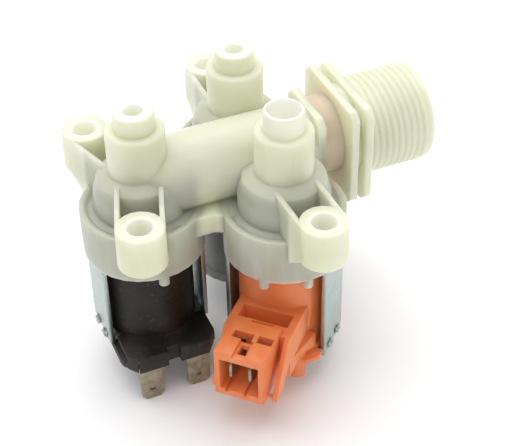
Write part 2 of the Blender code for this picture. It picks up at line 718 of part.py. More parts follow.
def guide_tube(valve, materials):
    """Closed tube whose flange clamps the diaphragm's rim inside the skirt."""
    outer = SKIRT_BORE - CLEARANCE
    clamp = LEDGE_HEIGHT - RUBBER_RIM - 2.0 * CLEARANCE
    bore = TUBE_RADIUS - TUBE_WALL
    profile = [(0.0, TUBE_WALL - TUBE_DEPTH), (bore, TUBE_WALL - TUBE_DEPTH), (bore, FLANGE_FLOOR),
               (outer - RUBBER_RIM_WIDTH + CLEARANCE, FLANGE_FLOOR),
               (outer - RUBBER_RIM_WIDTH + CLEARANCE, clamp), (outer, clamp), (outer, 0.0),
               (TUBE_RADIUS, 0.0), (TUBE_RADIUS, TUBE_WALL - TUBE_DEPTH), (bore, -TUBE_DEPTH),
               (0.0, -TUBE_DEPTH)]
    node(f"guide_tube_{valve.number}", turned("tube", profile, turned_frame(valve), ROUND_INNER),
         materials["white_acetal"])


def plunger(valve, nipple, materials):
    """Steel plunger with a rubber seal on top, held up by its spring."""
    frame = turned_frame(valve)
    radius = TUBE_RADIUS - TUBE_WALL - CLEARANCE
    seal_top = nipple - CLEARANCE
    top = seal_top - SEAL_PROUD
    pocket = seal_top - SEAL_LENGTH - CLEARANCE
    foot = TUBE_WALL - TUBE_DEPTH + SPRING_SPACE
    profile = [(0.0, pocket), (SEAL_RADIUS + CLEARANCE, pocket), (SEAL_RADIUS + CLEARANCE, top),
               (radius - PLUNGER_CHAMFER, top), (radius, top - PLUNGER_CHAMFER),
               (radius, foot + PLUNGER_CHAMFER), (radius - PLUNGER_CHAMFER, foot), (0.0, foot)]
    node(f"plunger_{valve.number}", turned("slug", profile, frame, ROUND_SMALL),
         materials["plunger_steel"])
    node(f"plunger_seal_{valve.number}",
         cylinder("seal", SEAL_RADIUS, seal_top - SEAL_LENGTH, seal_top, frame, ROUND_SMALL),
         materials["rubber"])
    low = TUBE_WALL - TUBE_DEPTH + CLEARANCE + SPRING_WIRE
    high = foot - CLEARANCE - SPRING_WIRE
    steps = SPRING_STEPS * SPRING_TURNS
    points = []
    for i in range(steps + 1):
        angle = 2.0 * math.pi * SPRING_TURNS * i / steps
        points.append((SPRING_RADIUS * math.cos(angle), SPRING_RADIUS * math.sin(angle),
                       low + (high - low) * i / steps))
    node(f"spring_{valve.number}", wire("coil_spring", points, SPRING_WIRE, frame),
         materials["spring_steel"])


def tab_boxes(name, low, high, grow, frame):
    """The lower plate's tabs through both sides, or with grow their slots."""
    tabs = []
    for side in (-1.0, 1.0):
        near, far = sorted((side * (YOKE_HALF_WIDTH - 2.0 * SHEET), side * (YOKE_HALF_WIDTH + grow)))
        for offset in (-TAB_OFFSET, TAB_OFFSET):
            tabs.append(box(name, (near, offset - TAB_WIDTH / 2.0 - grow, low - grow),
                            (far, offset + TAB_WIDTH / 2.0 + grow, high + grow), frame))
    return tabs


def yoke(valve, materials):
    """Folded steel frame over the coil, and the plate that closes it below."""
    frame = turned_frame(valve)
    top = -CLEARANCE
    plate_top = valve.coil_foot - CLEARANCE
    plate_foot = plate_top - SHEET
    foot = plate_foot - valve.side_overhang
    wide, inner = YOKE_HALF_WIDTH, YOKE_HALF_WIDTH - SHEET
    bend = SHEET_BEND
    outer_corner = arc((wide - bend, top - bend), (bend, bend), 90, 0, 4)
    inner_corner = arc((wide - bend, top - bend), (bend - SHEET, bend - SHEET), 0, 90, 4)
    half = outer_corner + [(wide, foot), (inner, foot)] + inner_corner
    left = [(-x, y) for x, y in reversed(half)]
    strap = outline("folded_strap", [half + left], 2.0 * YOKE_HALF_DEPTH, frame @ OUTLINE_ACROSS_Y)
    hole = cylinder("tube_hole", TUBE_RADIUS + CLEARANCE, top - 2.0 * SHEET, top + SHEET, frame)
    slots = tab_boxes("tab_slot", plate_foot, plate_top, CLEARANCE, frame)
    node(f"yoke_{valve.number}", strap, materials["zinc_steel"], (), [hole, *slots])
    depth = YOKE_HALF_DEPTH - CLEARANCE
    plate = box("lower_plate", (CLEARANCE - inner, -depth, plate_foot),
                (inner - CLEARANCE, depth, plate_top), frame)
    node(f"yoke_plate_{valve.number}", plate, materials["zinc_steel"],
         tab_boxes("tab", plate_foot, plate_top, 0.0, frame))


def coil_bore(valve):
    frame = turned_frame(valve)
    return cylinder("coil_bore", TUBE_RADIUS + CLEARANCE, valve.coil_foot - SHEET, 0.0, frame)


def coil_barrel(valve, foot):
    """The moulded winding, under the yoke's top."""
    top = -2.0 * CLEARANCE - SHEET
    profile = [(0.0, top), (COIL_RADIUS - LIP_ROUND, top), (COIL_RADIUS, top - LIP_ROUND),
               (COIL_RADIUS, foot), (0.0, foot)]
    return turned("barrel", profile, turned_frame(valve), ROUND_LARGE)


def flat_solid(name, points, low, high, frame):
    """Outline of (across, reach) points, reach counted towards the contacts, between two heights."""
    level = Matrix.Translation((0.0, 0.0, (low + high) / 2.0))
    return outline(name, [[(x, -reach) for x, reach in points]], high - low, frame @ level)


def coil_with_spades(valve, materials):
    """Coil 1: a foot in front of and under the yoke, with a downward spade in each of its blocks."""
    frame = turned_frame(valve)
    top = valve.coil_foot + BLOCK_RISE
    corner = arc((BASE_HALF_WIDTH - BASE_CORNER, BASE_FRONT - BASE_CORNER), (BASE_CORNER, BASE_CORNER),
                 0, 90, 4)
    slab = mirrored([(BASE_HALF_WIDTH, 0.0), *corner])
    blocks = mirrored([(BLOCK_HALF_WIDTH, YOKE_CLEAR), (BLOCK_HALF_WIDTH, BLOCK_SHOULDER),
                       (BLOCK_HALF_WIDTH - BLOCK_TAPER, BLOCK_FRONT), (NOTCH_HALF_WIDTH, BLOCK_FRONT),
                       (NOTCH_HALF_WIDTH, BLOCK_FRONT - NOTCH_DEPTH)])
    join = [cylinder("round_slab", COIL_FLANGE_RADIUS, BASE_FOOT, BASE_TOP, frame, ROUND_LARGE),
            flat_solid("front_slab", slab, BASE_FOOT, BASE_TOP, frame),
            flat_solid("spade_blocks", blocks, BASE_FOOT, top, frame)]
    cut = [coil_bore(valve)]
    slot_x = SPADE_WIDTH / 2.0 + CLEARANCE
    slot_y = SPADE_THICKNESS / 2.0 + CLEARANCE
    root = BASE_FOOT + SPADE_INSET
    for sign, label in ((-1.0, "a"), (1.0, "b")):
        x = sign * SPADE_OFFSET
        cut.append(box("spade_slot", (x - slot_x, -SPADE_REACH - slot_y, SPADE_TIP),
                       (x + slot_x, -SPADE_REACH + slot_y, root + CLEARANCE), frame))
        half = [(SPADE_WIDTH / 2.0, root), (SPADE_WIDTH / 2.0, SPADE_TIP + SPADE_CORNER),
                (SPADE_WIDTH / 2.0 - SPADE_CORNER, SPADE_TIP)]
        hole = arc((0.0, SPADE_TIP + SPADE_HOLE_HEIGHT), (SPADE_HOLE, SPADE_HOLE), 0, 315, 8)
        blade = outline("spade", [mirrored(half), hole], SPADE_THICKNESS,
                        frame @ Matrix.Translation((x, -SPADE_REACH, 0.0)) @ OUTLINE_ACROSS_Y)
        node(f"terminal_{valve.number}{label}", blade, materials["terminal_metal"])
    node(f"coil_{valve.number}", coil_barrel(valve, valve.coil_foot), materials["black_nylon"], join, cut)


def outward_box(name, x_range, reach_range, z_range, frame):
    """Box given by its distances out from the coil's axis towards the contacts."""
    return box(name, (x_range[0], -reach_range[1], z_range[0]),
               (x_range[1], -reach_range[0], z_range[1]), frame)


def gusset(frame):
    """Upright gusset from the housing's side to the foot's ear, with a slanted lower edge."""
    side = BAR_SHIFT + BAR_HALF_WIDTH
    plan = [(side - SHEET, GUSSET_FRONT), (side, GUSSET_FRONT), (GUSSET_WIDTH, YOKE_CLEAR),
            (side - SHEET, YOKE_CLEAR)]
    plate = flat_solid("gusset", plan, COIL_2_FOOT, GUSSET_TOP, frame)
    below = [(YOKE_CLEAR - SHEET, COIL_2_FOOT + EAR_DROP / 2.0), (GUSSET_FRONT + SHEET, GUSSET_TOP),
             (GUSSET_FRONT + SHEET, COIL_2_FOOT - SHEET), (YOKE_CLEAR - SHEET, COIL_2_FOOT - SHEET)]
    middle = frame @ Matrix.Translation(((side + GUSSET_WIDTH) / 2.0, 0.0, 0.0))
    combine(plate, [outline("gusset_underside", [below], GUSSET_WIDTH, middle @ OUTLINE_OUTWARD)],
            "DIFFERENCE")
    return plate


def plug_shapes(frame):
    """Socket housing with its neck, bar, straps, gusset, ear and pegs."""
    low, high = BAR_SHIFT - BAR_HALF_WIDTH, BAR_SHIFT + BAR_HALF_WIDTH
    ear = [(low + BAR_HALF_WIDTH, YOKE_CLEAR), (EAR_WIDTH, YOKE_CLEAR), (EAR_WIDTH, EAR_REACH - EAR_TAPER),
           (EAR_WIDTH - EAR_TAPER, EAR_REACH), (low + BAR_HALF_WIDTH, EAR_REACH)]
    join = [
        outward_box("neck", (low, high), (YOKE_CLEAR, BAR_FRONT), (PLUG_FOOT, BAR_TOP), frame),
        outward_box("socket", (-PLUG_HALF_WIDTH, PLUG_HALF_WIDTH), (BAR_FRONT - SHEET, PLUG_FRONT),
                    (PLUG_FOOT, PLUG_TOP), frame),
        flat_solid("ear", ear, COIL_2_FOOT - EAR_DROP,
                   COIL_2_FOOT + COIL_FLANGE_THICKNESS - EAR_DROP, frame),
        gusset(frame),
    ]
    strap = [(BAR_BACK, BAR_TOP), (BAR_FRONT + SHEET, BAR_TOP), (STRAP_TOE, PLUG_FOOT + STRAP_TOE_HEIGHT),
             (STRAP_TOE, PLUG_FOOT), (STRAP_TOE - STRAP_TOE_LENGTH, PLUG_FOOT),
             (BAR_BACK, BAR_TOP - STRAP_HEIGHT)]
    for side in (-1.0, 1.0):
        middle = BAR_SHIFT + side * (BAR_HALF_WIDTH - STRAP_THICKNESS / 2.0)
        join.append(outline("strap", [strap], STRAP_THICKNESS,
                            frame @ Matrix.Translation((middle, 0.0, 0.0)) @ OUTLINE_OUTWARD))
        toe = sorted((side * (PLUG_HALF_WIDTH - SHEET), middle))
        join.append(outward_box("strap_toe", toe, (STRAP_TOE - STRAP_TOE_HEIGHT, STRAP_TOE - SHEET / 2.0),
                                (PLUG_FOOT + SHEET / 4.0, PLUG_FOOT + STRAP_TOE_HEIGHT), frame))
        join.append(cylinder("peg", BOSS_RADIUS, BOSS_FOOT, PLUG_FOOT + SHEET,
                             frame @ Matrix.Translation((side * BOSS_X, -BOSS_REACH, 0.0)), ROUND_SMALL))
    cut = [
        outward_box("mouth", (-MOUTH_HALF_WIDTH, MOUTH_HALF_WIDTH), (MOUTH_BACK, PLUG_FRONT + SHEET),
                    (MOUTH_FOOT, MOUTH_TOP), frame),
        outward_box("channel", (-CHANNEL_HALF_WIDTH, CHANNEL_HALF_WIDTH), (WINDOW_END, PLUG_FRONT + SHEET),
                    (PLUG_TOP - CHANNEL_DEPTH, PLUG_TOP + SHEET), frame),
        outward_box("slot", (-SLOT_HALF_WIDTH, SLOT_HALF_WIDTH), (SLOT_START, SLOT_END),
                    (MOUTH_TOP - SHEET, PLUG_TOP), frame),
        outward_box("recess", RECESS, (RECESS_START, RECESS_END),
                    (BAR_TOP - RECESS_DEPTH, BAR_TOP + SHEET), frame),
        outward_box("gutter", (BAR_SHIFT - GUTTER_HALF_WIDTH, BAR_SHIFT + GUTTER_HALF_WIDTH),
                    (COIL_RADIUS + GUTTER_GAP, BAR_BACK), (GUTTER_FLOOR, BAR_TOP + SHEET), frame),
    ]
    for window in WINDOWS:
        cut.append(outward_box("window", window, (WINDOW_START, WINDOW_END),
                               (MOUTH_TOP - SHEET, PLUG_TOP + SHEET), frame))
    for x in GROOVES:
        cut.append(outward_box("groove", (x - GROOVE_WIDTH / 2.0, x + GROOVE_WIDTH / 2.0),
                               (MOUTH_BACK + SHEET, PLUG_FRONT + SHEET),
                               (MOUTH_FOOT - GROOVE_DEPTH, MOUTH_FOOT + SHEET), frame))
    for x in (-BLADE_OFFSET, BLADE_OFFSET):
        half = SPADE_THICKNESS / 2.0 + CLEARANCE
        cut.append(outward_box("blade_slot", (x - half, x + half),
                               (BLADE_ROOT - CLEARANCE, MOUTH_BACK + SHEET),
                               (BLADE_FOOT - CLEARANCE, BLADE_TOP + CLEARANCE), frame))
    return join, cut


def coil_with_plug(valve, material, materials):
    """Coils 2 and 3: a two-blade socket in front of the barrel, and two pegs below."""
    frame = turned_frame(valve)
    join, cut = plug_shapes(frame)
    flange_top = valve.coil_foot + COIL_FLANGE_THICKNESS
    flange = cylinder("bobbin_flange", COIL_FLANGE_RADIUS, valve.coil_foot, flange_top, frame, ROUND_LARGE)
    half_gap = YOKE_HALF_WIDTH - SHEET - CLEARANCE
    for side in (-1.0, 1.0):
        near, far = sorted((side * half_gap, side * 2.0 * half_gap))
        cut.append(box("flange_trim", (near, -YOKE_CLEAR, valve.coil_foot - 2.0 * SHEET),
                       (far, YOKE_CLEAR, flange_top + SHEET), frame))
    join.append(flange)
    cut.append(coil_bore(valve))
    for x, label in ((-BLADE_OFFSET, "a"), (BLADE_OFFSET, "b")):
        half = [(BLADE_ROOT, BLADE_TOP), (BLADE_TIP - BLADE_CHAMFER, BLADE_TOP),
                (BLADE_TIP, BLADE_TOP - BLADE_CHAMFER), (BLADE_TIP, BLADE_FOOT + BLADE_CHAMFER),
                (BLADE_TIP - BLADE_CHAMFER, BLADE_FOOT), (BLADE_ROOT, BLADE_FOOT)]
        blade = outline("blade", [half], SPADE_THICKNESS,
                        frame @ Matrix.Translation((x, 0.0, 0.0)) @ OUTLINE_OUTWARD)
        node(f"terminal_{valve.number}{label}", blade, materials["terminal_metal"])
    barrel = coil_barrel(valve, valve.coil_foot + COIL_FLANGE_THICKNESS / 2.0)
    node(f"coil_{valve.number}", barrel, material, join, cut)


def build():
    clear_scene()
    new_collection("inlet_valve")
    new_collection("cutters")
    materials = make_materials()
    valve_body(materials)
    flow_regulator(materials)
    strainer(materials)
    for valve in VALVES:
        nipple = diaphragm(valve, materials)
        guide_tube(valve, materials)
        plunger(valve, nipple, materials)
        yoke(valve, materials)
    coil_with_spades(VALVES[0], materials)
    coil_with_plug(VALVES[1], materials["orange_nylon"], materials)
    coil_with_plug(VALVES[2], materials["grey_nylon"], materials)


build()
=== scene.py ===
"""Washing machine inlet valve: moulded body, coils, yokes, terminals and a plain studio."""

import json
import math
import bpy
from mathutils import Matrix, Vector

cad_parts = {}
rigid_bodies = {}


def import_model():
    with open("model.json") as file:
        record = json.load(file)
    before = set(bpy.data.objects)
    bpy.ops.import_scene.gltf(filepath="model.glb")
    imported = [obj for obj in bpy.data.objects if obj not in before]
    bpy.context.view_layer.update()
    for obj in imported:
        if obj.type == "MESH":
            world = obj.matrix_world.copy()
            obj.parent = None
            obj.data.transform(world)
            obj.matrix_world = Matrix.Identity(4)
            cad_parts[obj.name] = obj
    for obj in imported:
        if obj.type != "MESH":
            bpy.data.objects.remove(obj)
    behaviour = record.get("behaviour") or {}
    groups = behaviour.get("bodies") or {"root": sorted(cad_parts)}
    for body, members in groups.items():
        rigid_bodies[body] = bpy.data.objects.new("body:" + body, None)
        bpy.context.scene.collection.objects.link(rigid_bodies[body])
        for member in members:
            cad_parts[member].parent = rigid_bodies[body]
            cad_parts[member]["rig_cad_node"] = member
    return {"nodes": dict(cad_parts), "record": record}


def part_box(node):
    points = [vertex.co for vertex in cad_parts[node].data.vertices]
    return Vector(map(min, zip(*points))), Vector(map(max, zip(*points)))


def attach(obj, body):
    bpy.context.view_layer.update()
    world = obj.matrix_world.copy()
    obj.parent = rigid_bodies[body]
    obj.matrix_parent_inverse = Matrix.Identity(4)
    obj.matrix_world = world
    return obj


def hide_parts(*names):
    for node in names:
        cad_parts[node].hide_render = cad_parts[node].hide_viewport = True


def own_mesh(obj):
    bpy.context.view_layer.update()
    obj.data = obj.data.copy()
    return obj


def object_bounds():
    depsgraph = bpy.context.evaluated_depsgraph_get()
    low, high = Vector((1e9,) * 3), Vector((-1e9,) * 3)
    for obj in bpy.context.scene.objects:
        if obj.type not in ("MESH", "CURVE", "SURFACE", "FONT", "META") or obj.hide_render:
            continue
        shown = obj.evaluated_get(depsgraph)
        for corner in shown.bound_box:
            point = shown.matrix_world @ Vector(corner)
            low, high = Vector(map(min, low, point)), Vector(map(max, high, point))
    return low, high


bl_info = {
    "name": "Inlet Valve",
    "version": (1, 0, 0),
    "blender": (4, 5, 0),
    "location": "View3D > Sidebar > Inlet Valve",
    "description": "Surfaces and fine forms of a triple solenoid inlet valve, round its fixed frame",
    "category": "Object",
}

import bpy
from mathutils import Matrix, Vector, noise

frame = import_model()
CAD_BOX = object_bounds()
MM = 0.001  # metres in a millimetre
INLET_AXIS_Z = sum(corner.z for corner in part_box("inlet_strainer")) / 2.0
DRUM_TOP = CAD_BOX[1].z - 20.0 * MM  # where the bells' drums curve in to the collars
DRUM_FADE = (5.5 * MM, -2.5 * MM)  # from it, where the painted shade on the bells' walls starts and is full
DRUM_RADIUS = 11.8 * MM
GALLERY_FADE = 2.0 * MM  # each way from drum 1's wall
BELL_REACH = 17.6 * MM  # past the bells' rims
GALLERY_REACH = 11.0 * MM  # past the gallery's wall
SPIGOT_REACH = 5.2 * MM  # just past the spigots' walls
LUG_REACH = 4.6 * MM  # about half way through the lugs' walls
GLOW_SPREAD = 1.25  # of the regulator's width, where its colour shows
SINK_HEIGHT = 6.0  # of the moulding's sink marks, against its fibres
FAR = 10.0  # metres, past every end of the part
WELD = 0.0005 * MM  # corners nearer than this are one
FLAT = math.radians(0.5)  # faces nearer to one plane than this are one
CREASE = math.radians(40.0)  # edges sharper than this are rounded, and shaded as edges
THREAD_SECTION = ((-0.47, -0.50), (-0.42, 0.05), (-0.22, 0.72), (-0.07, 1.0),
                  (0.07, 1.0), (0.22, 0.72), (0.42, 0.05), (0.47, -0.50))  # pitches along, heights out
RUN_OUT = 0.6  # turns over which the thread rises from the stub
LEAST_RIDGE = 0.1  # share of the thread's height that its ends keep
KNOT_ROUGHNESS = 0.6  # of a hammered end, as a share of its size
KNOT_DETAIL = 2.4  # bumps in that size
FLOOR_SIZE = 6.0
NEAREST_SEEN = 10.0 * MM  # from the camera
UNDER, OVER, MIXED = 6, 7, 2  # a Mix node's two colour inputs and its colour output


def linear(hex_colour):
    """Linear RGBA of an sRGB colour such as #E8743B."""
    channels = [int(hex_colour[i:i + 2], 16) / 255.0 for i in (1, 3, 5)]
    return (*[c / 12.92 if c <= 0.04045 else ((c + 0.055) / 1.055) ** 2.4 for c in channels], 1.0)


def add_node(tree, kind, settings, links=()):
    """Node with its inputs or attributes set by name, and its inputs fed by a socket or a value."""
    made = tree.nodes.new(kind)
    for name, value in settings.items():
        if name in made.inputs:
            made.inputs[name].default_value = value
        else:
            setattr(made, name, value)
    for name, source in dict(links).items():
        if isinstance(source, bpy.types.NodeSocket):
            tree.links.new(source, made.inputs[name])
        else:
            made.inputs[name].default_value = source
    return made


def new_material(name, settings):
    """Material with its Principled shader's constants, and the Object coordinates."""
    material = bpy.data.materials.new(name)
    material.use_nodes = True
    tree = material.node_tree
    shader = tree.nodes["Principled BSDF"]
    for socket, value in settings.items():
        shader.inputs[socket].default_value = value
    place = add_node(tree, "ShaderNodeTexCoord", {}).outputs["Object"]
    return material, tree, shader, place


def speckle(tree, place, size_mm, low, high, detail=2.0):
    """Noise of a size in millimetres, stretched between two of its levels to run from 0 to 1."""
    grain = add_node(tree, "ShaderNodeTexNoise", {"Scale": 1.0 / (size_mm * MM), "Detail": detail},
                     {"Vector": place})
    stretch = add_node(tree, "ShaderNodeMapRange", {"From Min": low, "From Max": high},
                       {"Value": grain.outputs["Fac"]})
    return stretch.outputs["Result"]


def paint(tree, shader, ground, layers):
    """Base colour: a hex colour, and over it each layer's hex colour where its pattern is 1."""
    colour = linear(ground)
    for pattern, coat in layers:
        mix = add_node(tree, "ShaderNodeMix", {"data_type": "RGBA"},
                       {"Factor": pattern, UNDER: colour, OVER: linear(coat)})
        colour = mix.outputs[MIXED]
    tree.links.new(colour, shader.inputs["Base Color"])


def vary_roughness(tree, shader, pattern, least, most):
    """Roughness from one value to another, as a pattern runs from 0 to 1."""
    rough = add_node(tree, "ShaderNodeMapRange", {"To Min": least, "To Max": most}, {"Value": pattern})
    tree.links.new(rough.outputs["Result"], shader.inputs["Roughness"])


def surface_relief(tree, shader, height, depth_mm, edge_mm):
    """Bump of a depth in millimetres, over edges that look rounded by a radius."""
    soft = add_node(tree, "ShaderNodeBevel", {"Radius": edge_mm * MM, "samples": 6})
    bump = add_node(tree, "ShaderNodeBump", {"Distance": depth_mm * MM, "Strength": 1.0},
                    {"Height": height, "Normal": soft.outputs["Normal"]})
    tree.links.new(bump.outputs["Normal"], shader.inputs["Normal"])


def stretched_ball(tree, place, centre, reach):
    """1 at a point, falling to 0 at a reach that differs along X, Y and Z."""
    centred = add_node(tree, "ShaderNodeMapping",
                       {"vector_type": "TEXTURE", "Location": centre, "Scale": reach}, {"Vector": place})
    ball = add_node(tree, "ShaderNodeTexGradient", {"gradient_type": "SPHERICAL"},
                    {"Vector": centred.outputs["Vector"]})
    return ball.outputs["Fac"]


def near_axes(tree, place, middles, reach, edge):
    """1 round upright axes and 0 past a reach from them, with a soft edge in shares of that reach."""
    share = 0.0
    for middle in middles:
        ball = stretched_ball(tree, place, middle, (reach, reach, FAR))
        share = add_node(tree, "ShaderNodeMath", {"operation": "MAXIMUM"}, {0: share, 1: ball}).outputs[0]
    soft = add_node(tree, "ShaderNodeMapRange", {"interpolation_type": "SMOOTHSTEP", "From Max": edge},
                    {"Value": share})
    return soft.outputs["Result"]


def valve_middles():
    """A point on the axis of each valve."""
    boxes = [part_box(f"guide_tube_{number}") for number in (1, 2, 3)]
    return [(low + high) / 2.0 for low, high in boxes]


def lug_middles():
    """A point on the axis of each screw lug's hole."""
    openings = frame["record"]["physics"]["openings"]
    boxes = [opening["box_m"] for opening in openings if opening["name"].startswith("lug")]
    return [(Vector(low) + Vector(high)) / 2.0 for low, high in boxes]


def lit_through(tree, place):
    """1 in the bores of spigots and lugs, where light comes through the walls from all round."""
    spigots = near_axes(tree, place, valve_middles(), SPIGOT_REACH, edge=0.2)
    lugs = near_axes(tree, place, lug_middles(), LUG_REACH, edge=0.3)
    return add_node(tree, "ShaderNodeMath", {"operation": "MAXIMUM"}, {0: spigots, 1: lugs}).outputs[0]


def bell_painted_shade(tree, place):
    """Painted shade, 1 on the bells' walls, which are thin, and 0 on the collars, lugs and gallery: the
    walls are painted greyer where they lie over the dark chambers and under the collars.
    """
    middles = valve_middles()
    bells = near_axes(tree, place, middles, BELL_REACH, edge=0.14)
    tube = stretched_ball(tree, place, (0.0, 0.0, INLET_AXIS_Z), (FAR, GALLERY_REACH, GALLERY_REACH))
    along = add_node(tree, "ShaderNodeSeparateXYZ", {}, {"Vector": place}).outputs
    drum_wall = middles[0].x + DRUM_RADIUS
    fades = ((along["Z"], DRUM_TOP + DRUM_FADE[0], DRUM_TOP + DRUM_FADE[1]), (tube, 0.0, 0.12),
             (along["X"], drum_wall - GALLERY_FADE, drum_wall + GALLERY_FADE))
    low_enough, in_tube, past_drum = [
        add_node(tree, "ShaderNodeMapRange",
                 {"interpolation_type": "SMOOTHSTEP", "From Min": start, "From Max": end},
                 {"Value": value}).outputs["Result"] for value, start, end in fades]
    gallery = add_node(tree, "ShaderNodeMath", {"operation": "MULTIPLY"}, {0: in_tube, 1: past_drum})
    beside = add_node(tree, "ShaderNodeMath", {"operation": "SUBTRACT"}, {0: 1.0, 1: gallery.outputs[0]})
    # Painted shade: full on the bells' walls below the drums' tops
    thin = add_node(tree, "ShaderNodeMath", {"operation": "MULTIPLY"}, {0: bells, 1: low_enough})
    shown = add_node(tree, "ShaderNodeMath", {"operation": "MULTIPLY"},
                     {0: thin.outputs[0], 1: beside.outputs[0]})
    return shown.outputs[0]


def natural_polyamide(colours):
    """Glass-filled polyamide, injection moulded without pigment: milky ivory, light passes a few mm in.

    Over the dark chambers its thin walls are painted greyer, as painted shade, and the red flow regulator's
    glow through the neck is painted on.
    Its glass fibres are far thinner than 0.45 mm, and are drawn that coarse so that they show."""
    material, tree, shader, place = new_material("natural_polyamide", {
        "Roughness": 0.36, "IOR": 1.53, "Subsurface Weight": 1.0, "Subsurface Scale": 5.0 * MM,
        "Subsurface Radius": (1.0, 0.98, 0.85)})
    low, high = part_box("flow_regulator_holder")
    reach = (high.x - low.x, GLOW_SPREAD * (high.y - low.y), GLOW_SPREAD * (high.z - low.z))
    regulator = add_node(tree, "ShaderNodeMapRange", {"From Min": 0.02, "From Max": 0.4, "To Max": 0.7},
                         {"Value": stretched_ball(tree, place, (low + high) / 2.0, reach)})
    paint(tree, shader, colours.ivory, [
        (speckle(tree, place, size_mm=14.0, low=0.35, high=0.65), colours.ivory_shade),
        # Painted shade: the bells' lower walls greyer, where they lie over the dark chambers and under the
        # collars
        (bell_painted_shade(tree, place), colours.ivory_painted_shade),
        (lit_through(tree, place), colours.ivory_lit),
        (regulator.outputs["Result"], colours.glow)])
    fibres = speckle(tree, place, size_mm=0.45, low=0.3, high=0.7, detail=3.0)
    sunk = speckle(tree, place, size_mm=5.0, low=0.2, high=0.8, detail=1.0)
    waves = add_node(tree, "ShaderNodeMath", {"operation": "MULTIPLY_ADD"},
                     {0: sunk, 1: SINK_HEIGHT, 2: fibres})
    surface_relief(tree, shader, waves.outputs[0], depth_mm=0.012, edge_mm=0.8)
    return material


def black_polyamide(colours):
    """Polyamide with carbon black, moulded over the winding: satin, with handling dust on it."""
    material, tree, shader, place = new_material("black_polyamide", {
        "IOR": 1.53, "Specular IOR Level": 0.28})
    stain = speckle(tree, place, size_mm=9.0, low=0.42, high=0.62)
    dust = speckle(tree, place, size_mm=1.6, low=0.58, high=0.85, detail=6.0)
    paint(tree, shader, colours.black, [(stain, colours.black_worn), (dust, colours.dust)])
    vary_roughness(tree, shader, stain, least=0.42, most=0.6)
    texture = speckle(tree, place, size_mm=0.7, low=0.3, high=0.7, detail=3.0)
    surface_relief(tree, shader, texture, depth_mm=0.02, edge_mm=0.3)
    return material


def satin_moulding(tree, shader, place, ground, clouds):
    """Two close colours in soft clouds, over the fine texture of a mould."""
    paint(tree, shader, ground, [(speckle(tree, place, size_mm=7.0, low=0.35, high=0.65), clouds)])
    texture = speckle(tree, place, size_mm=0.5, low=0.3, high=0.7, detail=3.0)
    surface_relief(tree, shader, texture, depth_mm=0.015, edge_mm=0.3)


def orange_polyamide(colours):
    """Polyamide with orange masterbatch, moulded: satin, with light passing a little way in."""
    material, tree, shader, place = new_material("orange_polyamide", {
        "Roughness": 0.42, "IOR": 1.53, "Subsurface Weight": 0.4, "Subsurface Scale": 1.5 * MM,
        "Subsurface Radius": (1.0, 0.5, 0.25)})
    satin_moulding(tree, shader, place, colours.orange, colours.orange_deep)
    return material


def grey_polyamide(colours):
    """Polyamide with grey masterbatch, moulded: satin and even."""
    material, tree, shader, place = new_material("grey_polyamide", {"Roughness": 0.45, "IOR": 1.53})
    satin_moulding(tree, shader, place, colours.grey, colours.grey_deep)
    return material


def passivated_zinc(colours):
    """Zinc-plated sheet steel, blue passivated and folded: cool, softly mirrored, faintly mottled."""
    material, tree, shader, place = new_material("passivated_zinc", {"Metallic": 1.0})
    mottle = speckle(tree, place, size_mm=3.0, low=0.35, high=0.65, detail=4.0)
    paint(tree, shader, colours.zinc, [(mottle, colours.zinc_warm)])
    scuffs = speckle(tree, place, size_mm=0.8, low=0.3, high=0.75, detail=5.0)
    vary_roughness(tree, shader, scuffs, least=0.28, most=0.46)
    surface_relief(tree, shader, scuffs, depth_mm=0.006, edge_mm=0.15)
    return material


def tinned_brass(colours):
    """Brass strip with a thin dull tin coat, stamped: warm grey, with faint rolling lines and stains."""
    material, tree, shader, place = new_material("tinned_brass", {"Metallic": 1.0})
    stain = speckle(tree, place, size_mm=2.2, low=0.4, high=0.68, detail=4.0)
    paint(tree, shader, colours.tin, [(stain, colours.tin_stain)])
    lines = add_node(tree, "ShaderNodeMapping", {"Scale": (1.0, 1.0, 0.05)}, {"Vector": place})
    rolled = speckle(tree, lines.outputs["Vector"], size_mm=0.2, low=0.3, high=0.7)
    vary_roughness(tree, shader, rolled, least=0.3, most=0.5)
    surface_relief(tree, shader, rolled, depth_mm=0.004, edge_mm=0.08)
    return material


def bright_stainless(name, colours):
    """Bright steel under fine marks that run across Z."""
    material, tree, shader, place = new_material(name, {"Metallic": 1.0})
    rings = add_node(tree, "ShaderNodeMapping", {"Scale": (0.05, 0.05, 1.0)}, {"Vector": place})
    cut = speckle(tree, rings.outputs["Vector"], size_mm=0.25, low=0.3, high=0.7)
    paint(tree, shader, colours.steel, [(cut, colours.steel_dark)])
    vary_roughness(tree, shader, cut, least=0.22, most=0.36)
    return material


def turned_stainless(colours):
    """Magnetic stainless steel, turned: clean and bright, with fine rings."""
    return bright_stainless("turned_stainless", colours)


def drawn_spring_wire(colours):
    """Stainless spring wire, cold drawn and coiled: bright, with fine marks."""
    return bright_stainless("drawn_spring_wire", colours)


def moulded_rubber(colours):
    """Black nitrile rubber, compression moulded: matt, with a faint bloom."""
    material, tree, shader, place = new_material("moulded_rubber", {"Roughness": 0.72, "IOR": 1.52})
    bloom = speckle(tree, place, size_mm=2.5, low=0.4, high=0.7, detail=3.0)
    paint(tree, shader, colours.rubber, [(bloom, colours.rubber_bloom)])
    surface_relief(tree, shader, bloom, depth_mm=0.01, edge_mm=0.2)
    return material


def white_acetal(colours):
    """Unpigmented acetal, moulded: white, slightly waxy."""
    material, tree, shader, place = new_material("white_acetal", {
        "Roughness": 0.35, "IOR": 1.48, "Subsurface Weight": 0.4, "Subsurface Scale": 2.0 * MM,
        "Subsurface Radius": (1.0, 1.0, 0.9)})
    clouds = speckle(tree, place, size_mm=4.0, low=0.35, high=0.65)
    paint(tree, shader, colours.acetal, [(clouds, colours.acetal_shade)])
    surface_relief(tree, shader, clouds, depth_mm=0.004, edge_mm=0.2)
    return material


